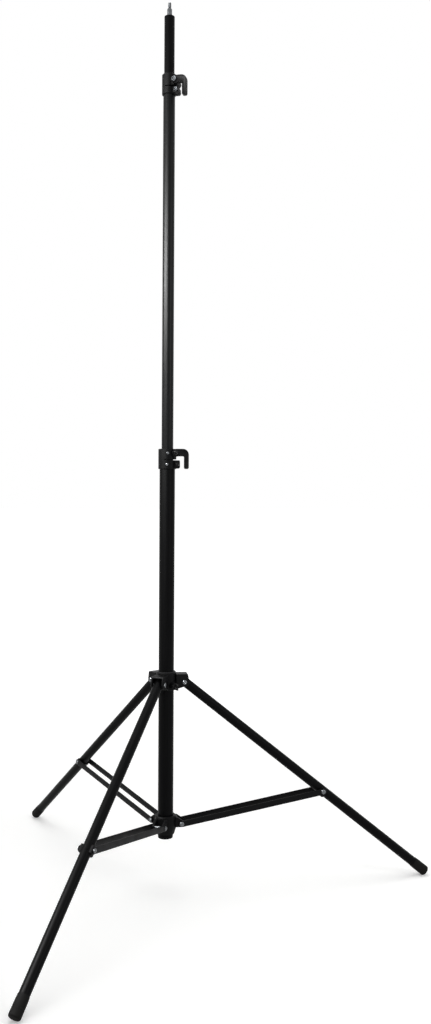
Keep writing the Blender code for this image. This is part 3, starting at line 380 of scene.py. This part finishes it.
def socket_screw(head, height, socket, shank, length):
    """A round-headed screw along Z with a six-sided socket. Its head sits on the plane z = 0
    and its shank points down. Each row is a radius at every angle and a height, from the
    socket's floor, over a crown of radius sin s and height cos s to the power 0.8, and down
    the straight side of the head to the tip."""
    side, rim, tip = 0.35 * height, 0.0004, 0.0006
    angle = np.linspace(0, 2 * np.pi, 48, endpoint=False)
    wall = six_sided(angle, socket)
    s = np.linspace(0.18, np.pi / 2, 8)
    crown = [(np.maximum(head * math.sin(turn), wall + rim),
              side + (height - side) * max(math.cos(turn), 0.0) ** 0.8) for turn in s]
    rows = [(0, 0.3 * height), (wall, 0.3 * height), (wall, 0.96 * height),
            (wall + rim / 2, height), *crown, (head, 0), (shank, 0), (shank, tip - length),
            (0.7 * shank, -length), (0, -length)]
    radius = np.stack([radius + 0 * angle for radius, level in rows])
    level = np.stack([level + 0 * angle for radius, level in rows])
    return skin(np.stack([radius * np.cos(angle), radius * np.sin(angle), level], -1), False)


def hexagon_nut(across, height, hole):
    """A nut along Z from z = 0 up. At each height its radius is the hexagon's, held within a
    cone of 30 degrees that cuts the corners at both faces. The hole closes the ring and is
    chamfered at both ends."""
    chamfer, chamfer_depth = 0.0004, 0.0003
    angle = np.linspace(0, 2 * np.pi, 48, endpoint=False)
    level = height * np.array([0, 0.06, 0.12, 0.2, 0.5, 0.8, 0.88, 0.94, 1.0])[:, None]
    near = np.minimum(level, height - level)
    cone = 0.49 * across + near * math.tan(math.radians(60))
    outside = np.minimum(six_sided(angle, across), cone)
    inside = hole + chamfer * np.array([1, 0, 0, 1])[:, None] + 0 * angle
    radius = np.concatenate([outside, inside])
    level = np.concatenate([level, [[height], [height - chamfer_depth], [chamfer_depth], [0]]])
    level = level + 0 * angle
    return skin(np.stack([radius * np.cos(angle), radius * np.sin(angle), level], -1), True)


low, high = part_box("lower_hub_screw")
screw_place = (Matrix.Translation((mast.x, mast.y, (low.z + high.z) / 2))
               @ Matrix.Rotation(hub_screw_azimuth, 4, "Z")
               @ Matrix.Translation((hub_screw_seat, 0, 0))
               @ Matrix.Rotation(math.radians(90), 4, "Y"))
piece("hub_screw_turned", socket_screw(**hub_screw), screw_place, zinc, "mast_base",
      ["lower_hub_screw"])


# Leg hub and lock screw
# The sliding hub, the same nylon as the lower one, with a bridged fork for each leg, and the
# wing knob that is pressed on the end of its lock screw.

softened("leg_hub_moulding", "leg_hub", 0.0006, "leg_collar")
softened("lock_knob_moulding", "lock_knob", 0.0006, "leg_lock")
give_finish("lock_screw", zinc)


# Legs
# Anodised tubes like the mast's, closed above by a domed plug and shod below with a rubber
# boot pushed over the end. The boot is dull and a little dusty, with two shallow grip grooves.

leg_length = 0.6407
leg_radius = 0.0093
leg_wall = 0.0012
leg_top = 0.0040
leg_tube_edge = 0.0003
leg_angle = math.radians(51.15)
leg_plug_brim = 0.0007
leg_plug_dome = 0.0015
leg_plug_stem = 0.0160
boot_radius = 0.0104
boot_length = 0.0350
boot_rounding = 0.0035
boot_taper = 0.0006
boot_sole = 0.0030
boot_rim = 0.0003
groove_heights = (0.0120, 0.0160)
groove_width = 0.0007
groove_depth = 0.0003
black_rubber = moulded("moulded_rubber", "#090909", "#131211", 0.70, 0.0009, 0.00012, 0.08)


def boot_profile():
    """A boot from the middle of its sole up its outside and down its bore. The outside bends
    off the sole on a quarter circle, narrows by the cube of the height's share, and loses a
    bell curve of the groove's depth at each groove."""
    top = boot_length - boot_rim
    level = np.concatenate([np.linspace(0, boot_rounding, 9),
                            np.linspace(boot_rounding + 0.001, top, 61)])
    below = boot_rounding - level.clip(0, boot_rounding)
    bend = np.sqrt((boot_rounding ** 2 - below ** 2).clip(0, None))
    taper = boot_taper * (level / top) ** 3
    groove = sum(groove_depth * np.exp(-((level - height) / groove_width) ** 2)
                 for height in groove_heights)
    outside = np.stack([boot_radius - boot_rounding + bend - taper - groove, level], -1)
    bore = leg_radius + seat_gap
    return np.concatenate([[(0, 0)], outside,
                           [(bore + boot_rim / 3, boot_length), (bore, boot_length - boot_rim / 3),
                            (bore, top), (bore, boot_sole), (0, boot_sole)]])


def leg_plug_profile():
    """A leg's plug from the crown of its dome, of radius sin s and height cos s above the brim,
    to the middle of its stem's end."""
    s = np.linspace(0, np.pi / 2, 10)
    seat = leg_top + seat_gap
    stem = leg_radius - leg_wall - seat_gap
    level = seat + leg_plug_brim + leg_plug_dome * np.cos(s)
    dome = np.stack([leg_radius * np.sin(s), level], -1)
    return np.concatenate([dome, [(leg_radius, seat), (stem, seat),
                                  (stem, seat - leg_plug_stem), (0, seat - leg_plug_stem)]])


bore = leg_radius - leg_wall
foot = boot_sole + seat_gap - leg_length
tube = eased([(bore, foot), (leg_radius, foot), (leg_radius, leg_top), (bore, leg_top)],
             leg_tube_edge)
leg_plug = leg_plug_profile()
boot = boot_profile() - (0, leg_length)
leg_places = {}
for k, azimuth in azimuths.items():
    leg_places[k] = (Matrix.Translation(joints[f"leg_{k}_fold"]["pos_m"])
                     @ Matrix.Rotation(azimuth, 4, "Z") @ Matrix.Rotation(-leg_angle, 4, "Y"))
    piece(f"leg_tube_{k}_drawn", skin(turned(tube, 56), True), leg_places[k], lower_black,
          f"leg_{k}", [f"leg_tube_{k}"])
    piece(f"leg_plug_{k}_moulding", skin(turned(leg_plug, 56), False), leg_places[k], nylon,
          f"leg_{k}", [f"leg_plug_{k}"])
    piece(f"foot_{k}_boot", skin(turned(boot, 56), False), leg_places[k], black_rubber,
          f"leg_{k}", [f"foot_{k}"])
    softened(f"brace_clip_{k}_moulding", f"brace_clip_{k}", 0.0003, f"leg_{k}")


# Braces
# A pair of flat steel strips to each leg, blanked, tumbled so that their edges are round, and
# powder coated. The powder leaves a slight orange peel and a silky gloss.

brace_attach = 0.3600
strip_width = 0.0118
strip_inside = 0.0125
strip_edge = 0.0006
strip_end_points = 18


def powder_coat(name, dark, light, gloss, specular):
    """Powder coat: orange peel of 1.5 mm in the relief and slow changes of shade and gloss,
    25 mm across. The peel is drawn a little coarser than the real one."""
    peel_grain, patch = 0.0015, 0.025
    material, tree, shader = new_finish(name)
    own = step(tree, "ShaderNodeAttribute", {}, attribute_name="own").outputs["Vector"]
    peel = step(tree, "ShaderNodeTexNoise", {"Vector": own, "Scale": 1 / peel_grain,
                                             "Detail": 1.0})
    flow = step(tree, "ShaderNodeTexNoise", {"Vector": own, "Scale": 1 / patch, "Detail": 4.0})
    colour = step(tree, "ShaderNodeMix", {0: flow.outputs["Fac"], 6: linear(dark),
                                          7: linear(light)}, data_type="RGBA")
    rough = step(tree, "ShaderNodeMapRange", {"Value": flow.outputs["Fac"], "From Min": 0.3,
                                              "From Max": 0.7, "To Min": gloss - 0.06,
                                              "To Max": gloss + 0.08})
    relief = step(tree, "ShaderNodeBump", {"Height": peel.outputs["Fac"], "Strength": 0.3,
                                           "Distance": 0.00015})
    shader.inputs["Specular IOR Level"].default_value = specular
    join_finish(tree, shader, colour, rough, relief)
    return material


def strip(length, side):
    """A strip in the XZ plane with round ends on x = 0 and x = length, on the side 1 or -1 of
    the leg. Its outline is two half circles, and each row of the skin is that outline with its
    half width less the inset of a quarter-round edge."""
    turn = np.linspace(-np.pi / 2, np.pi / 2, strip_end_points)
    turn = np.concatenate([turn, turn + np.pi])
    centre = np.repeat([length, 0.0], strip_end_points)
    s = np.linspace(0, np.pi / 2, 5)
    inset = strip_edge * np.concatenate([1 - np.sin(s), 1 - np.cos(s)])
    level = np.concatenate([strip_inside + strip_edge * (1 - np.cos(s)),
                            strip_outside - strip_edge * (1 - np.sin(s))])
    half = (strip_width / 2 - inset)[:, None]
    grid = np.stack([centre + half * np.cos(turn), side * level[:, None] + 0 * turn,
                     half * np.sin(turn)], -1)
    points, quads = skin(grid, False)
    rows, columns = grid.shape[:2]
    # Each flat face is closed by quads between the two mirrored sides of the outline.
    here = np.arange(strip_end_points // 2 - 1)
    there = strip_end_points - 1 - here
    closing = []
    for first in (0, (rows - 1) * columns):
        for start in (0, strip_end_points):
            closing.append(first + start + np.stack([here, here + 1, there - 1, there], -1))
        closing.append(first + np.array([[0, strip_end_points - 1, strip_end_points,
                                          columns - 1]]))
    return points, np.concatenate([quads, *closing])


def rivet_end(head, height, shank):
    """The headed end of a rivet, along Y: a dome on the strip's outside and its shank back to
    the strip's inside."""
    profile = np.concatenate([domed(head, height, strip_outside + seat_gap, 0),
                              [(shank, strip_outside + seat_gap), (shank, strip_inside),
                               (0, strip_inside)]])
    return along_y(profile)


black_powder = powder_coat("black_powder_coat", "#070708", "#0F0F10", 0.45, 0.07)
for k, azimuth in azimuths.items():
    hub_end = Vector(joints[f"brace_{k}_fold"]["pos_m"])
    leg_end = leg_places[k] @ Vector((0, 0, -brace_attach))
    run = leg_end - hub_end
    rise = math.atan2(run.z, math.hypot(run.x, run.y))
    at_brace = (Matrix.Translation(hub_end) @ Matrix.Rotation(azimuth, 4, "Z")
                @ Matrix.Rotation(-rise, 4, "Y"))
    for side, letter in ((1, "a"), (-1, "b")):
        piece(f"brace_{k}{letter}_coated", strip(run.length, side), at_brace, black_powder,
              f"brace_{k}", [f"brace_strip_{k}{letter}"])
        at_end = rivet_end(**brace_rivet) * (1, side, 1) + (run.length, 0, 0)
        piece(f"brace_rivet_{k}{letter}_head", skin(at_end, False), at_brace, zinc,
              f"brace_{k}", [f"brace_rivet_{k}{letter}"])


# Split collars and clamp levers
# Each collar is one nylon moulding, its sleeve bolted round the outer tube and its ring round
# the inner one. The hooked lever turns on the upper bolt, which carries a hexagon nut. The
# lower collar's fasteners are coated black. The upper one's are zinc painted darker than the
# rest: painted shade that keeps the left soft box from glinting white on them.

nut_height = 0.0036
nuts = {"collar_nut": {"across": 0.0069, "hole": 0.0022},
        "lever_nut": {"across": 0.0086, "hole": 0.0027}}
bolts = {"collar_bolt": {"head": 0.0036, "shank": 0.0020, "length": 0.0249},
         "clamp_bolt": {"head": 0.0044, "shank": 0.0025, "length": 0.0354}}
bolt_head_height = 0.0030
front_screw = {"head": 0.0026, "height": 0.0014, "socket": 0.0020, "shank": 0.0015,
               "length": 0.0020}
front_screw_seat = 0.01755
front_screw_and_highlight_heads = {"sleeve": {"azimuth": math.radians(-97.6), "rise": 0.0087},
                # The ring's head is a painted highlight: the collar only catches light there.
                "ring": {"azimuth": math.radians(-93.0), "rise": 0.0307}}

black_steel = powder_coat("black_coated_fasteners", "#09090A", "#131314", 0.34, 0.16)
# A darker copy of the zinc plate for the upper collar's nuts and bolts: painted shade against the
# left soft box's highlight.
zinc_painted_shade = zinc_plate("zinc_plated_steel_painted_shade", "#444648", "#333537", 0.45)
for label, body, lever_body, plating, slot in (
        ("lower", "mast_base", "lower_lever", black_steel, "black_coated_steel"),
        ("upper", "middle_section", "upper_lever", zinc_painted_shade, "zinc_plated_steel")):
    softened(f"{label}_collar_moulding", f"{label}_collar", 0.0005, body)
    softened(f"{label}_lever_moulding", f"{label}_clamp_lever", 0.0005, lever_body)
    axis = Vector(joints[f"{label}_lever_turn"]["axis"])
    along = axis.to_track_quat("Z", "Y").to_matrix().to_4x4()
    for kind, rider in (("collar_nut", body), ("lever_nut", lever_body)):
        low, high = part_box(f"{label}_{kind}")
        at_nut = (Matrix.Translation((low + high) / 2) @ along
                  @ Matrix.Translation((0, 0, -nut_height / 2)))
        piece(f"{label}_{kind}_plated", hexagon_nut(height=nut_height, **nuts[kind]), at_nut,
              plating, rider, [f"{label}_{kind}"])
    for kind, bolt in bolts.items():
        low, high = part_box(f"{label}_{kind}")
        head_seat = (bolt["length"] - bolt_head_height) / 2
        at_bolt = (Matrix.Translation((low + high) / 2) @ along
                   @ Matrix.Rotation(math.pi, 4, "X") @ Matrix.Translation((0, 0, head_seat)))
        turned_bolt = socket_screw(height=bolt_head_height, socket=bolt["head"] / 2, **bolt)
        piece(f"{label}_{kind}_plated", turned_bolt, at_bolt, plating, body,
              [f"{label}_{kind}"])

# Two small screw heads through the front of the lower collar, level with its bolts. The one on
# the sleeve is a screw; the one on the ring is a painted highlight, a zinc head where the collar
# only catches light.
collar_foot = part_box("lower_collar")[0].z
for label, screw in front_screw_and_highlight_heads.items():
    at_front = (Matrix.Translation((mast.x, mast.y, collar_foot + screw["rise"]))
                @ Matrix.Rotation(screw["azimuth"], 4, "Z")
                @ Matrix.Translation((front_screw_seat, 0, 0))
                @ Matrix.Rotation(math.radians(90), 4, "Y"))
    piece(f"lower_{label}_screw_turned", socket_screw(**front_screw), at_front, zinc,
          "mast_base")


# Head of the mast
# A plug closes the top tube and holds the turned steel stud: a plain base under a threaded
# tip of a quarter inch, twenty turns to the inch, which a lamp's socket or a nut fits.

cap_stem_radius = 0.0087
cap_height = 0.0160
cap_brim = 0.0017
cap_bore = 0.00505
stud_radius = 0.00475
tip_length = 0.0124
tip_chamfer = 0.0004
thread_root = 0.0024
thread_crest = 0.0031
thread_pitch = 0.0254 / 20


def threaded(base, top, facets):
    """A thread's skin: at the angle t and height h its depth goes up and down once in each
    pitch of h less the lead at t, as a triangle wave with its crests cut flat, and fades out
    over 0.8 of a pitch at both of its ends."""
    height = np.linspace(base, top, int((top - base) / thread_pitch * 8) + 1)[:, None]
    angle = np.linspace(0, 2 * np.pi, facets, endpoint=False)
    phase = ((height - base) / thread_pitch - angle / (2 * np.pi)) % 1
    wave = np.clip(1.25 * (1 - np.abs(2 * phase - 1)), 0, 1)
    ends = np.clip(np.minimum(height - base, top - height) / (0.8 * thread_pitch), 0, 1)
    radius = thread_root + (thread_crest - thread_root) * wave * ends
    return np.stack([radius * np.cos(angle), radius * np.sin(angle), height + 0 * angle], -1)


low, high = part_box("top_cap")
cap_radius = (high.x - low.x) / 2
cap = eased([(cap_bore, high.z - cap_height), (cap_stem_radius, high.z - cap_height),
             (cap_stem_radius, high.z - cap_brim), (cap_radius, high.z - cap_brim),
             (cap_radius, high.z), (cap_bore, high.z)],
            [0.0002, 0.0002, 0.0001, 0.0002, 0.0007, 0.0003])
piece("top_cap_moulding", skin(turned(cap, 64), True), Matrix.Translation(mast), nylon,
      "top_section", ["top_cap"])

low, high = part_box("light_stud")
shoulder = high.z - tip_length
plain = eased([(0, low.z), (stud_radius, low.z), (stud_radius, shoulder), (0.0030, shoulder)],
              [0, 0.0003, 0.0006, 0], 4, False)
point = [(thread_root, high.z - tip_chamfer / 4), (thread_root - tip_chamfer, high.z),
         (0, high.z)]
stud = np.concatenate([turned(plain, 48), threaded(shoulder, high.z - tip_chamfer, 48),
                       turned(point, 48)])
piece("light_stud_turned", skin(stud, False), Matrix.Translation(mast), zinc, "top_section",
      ["light_stud"], crease=30)


# Floor, light and camera
# A white floor that runs on into a white surround, a long soft box at the left that only
# draws its streak on gloss, and plain ones at the right and above that light the object.

floor_reach = 40.0


def shown_white(tree):
    """1 for what the camera sees by itself and in gloss or glass, and 0 for other rays."""
    path = step(tree, "ShaderNodeLightPath", {})
    seen = step(tree, "ShaderNodeMath", {0: path.outputs["Is Camera Ray"],
                                         1: path.outputs["Is Glossy Ray"]}, operation="ADD")
    seen = step(tree, "ShaderNodeMath", {0: seen.outputs[0],
                                         1: path.outputs["Is Transmission Ray"]},
                operation="ADD", use_clamp=True)
    return seen.outputs[0]


floor_mesh = bpy.data.meshes.new("studio_floor")
corners = floor_reach * np.array([(-1, -1, 0), (1, -1, 0), (1, 1, 0), (-1, 1, 0)])
floor_mesh.from_pydata(corners.tolist(), [], [(0, 1, 2, 3)])
floor = bpy.data.objects.new("studio_floor", floor_mesh)
bpy.context.scene.collection.objects.link(floor)
paper, tree, shader = new_finish("white_floor_paint")
shader.inputs["Base Color"].default_value = linear("#F4F4F3")
shader.inputs["Roughness"].default_value = 0.9
shader.inputs["Specular IOR Level"].default_value = 0.1
shader.inputs["Emission Color"].default_value = (1, 1, 1, 1)
# The white that is added grows between 0.7 m and 2.6 m out, so the feet keep their shadow.
spot = step(tree, "ShaderNodeTexCoord", {}).outputs["Object"]
away = step(tree, "ShaderNodeVectorMath", {0: spot}, operation="LENGTH")
bleach = step(tree, "ShaderNodeMapRange", {"Value": away.outputs["Value"], "From Min": 0.7,
                                           "From Max": 2.6, "To Min": 0.30, "To Max": 0.70},
              interpolation_type="SMOOTHSTEP")
lift = step(tree, "ShaderNodeMath", {0: shown_white(tree), 1: bleach.outputs[0]},
            operation="MULTIPLY")
tree.links.new(lift.outputs[0], shader.inputs["Emission Strength"])
floor_mesh.materials.append(paper)

world = bpy.data.worlds.new("white_surround")
bpy.context.scene.world = world
world.use_nodes = True
tree = world.node_tree
tree.nodes.clear()
fill = step(tree, "ShaderNodeBackground", {"Color": (1, 1, 1, 1), "Strength": 0.45})
white = step(tree, "ShaderNodeBackground", {"Color": (1, 1, 1, 1), "Strength": 1.0})
mixed = step(tree, "ShaderNodeMixShader", {0: shown_white(tree), 1: fill.outputs[0],
                                           2: white.outputs[0]})
step(tree, "ShaderNodeOutputWorld", {"Surface": mixed.outputs[0]})

for name, place, target, size, power in (
        ("soft_box_left", (-1.40, -0.80, 1.57), (-0.13, 0, 1.25), (2.0, 0.28), 165),
        ("soft_box_right", (1.60, -1.60, 1.50), (-0.13, 0, 0.7), (0.9, 1.4), 14),
        ("soft_box_above", (0.0, 0.4, 3.40), (-0.13, 0, 0.8), (2.2, 2.2), 40)):
    box = bpy.data.lights.new(name, "AREA")
    box.shape = "RECTANGLE"
    box.size, box.size_y = size
    box.energy = power
    lamp = bpy.data.objects.new(name, box)
    bpy.context.scene.collection.objects.link(lamp)
    lamp.location = place
    lamp.rotation_euler = (Vector(target) - Vector(place)).to_track_quat("-Z", "Y").to_euler()
    lamp.visible_diffuse = name != "soft_box_left"

# The camera stands where its view of the feet, the hubs and the mast fits the photograph.
lens = bpy.data.cameras.new("camera")
lens.sensor_width = 36
lens.lens = 34.68
camera = bpy.data.objects.new("camera", lens)
bpy.context.scene.collection.objects.link(camera)
camera.matrix_world = Matrix(((0.989314, -0.003051, -0.145770, -0.319198),
                              (-0.145670, 0.021755, -0.989094, -1.919889),
                              (0.006189, 0.999759, 0.021078, 0.782020),
                              (0, 0, 0, 1)))
bpy.context.scene.camera = camera
bpy.context.scene.view_settings.view_transform = "Standard"
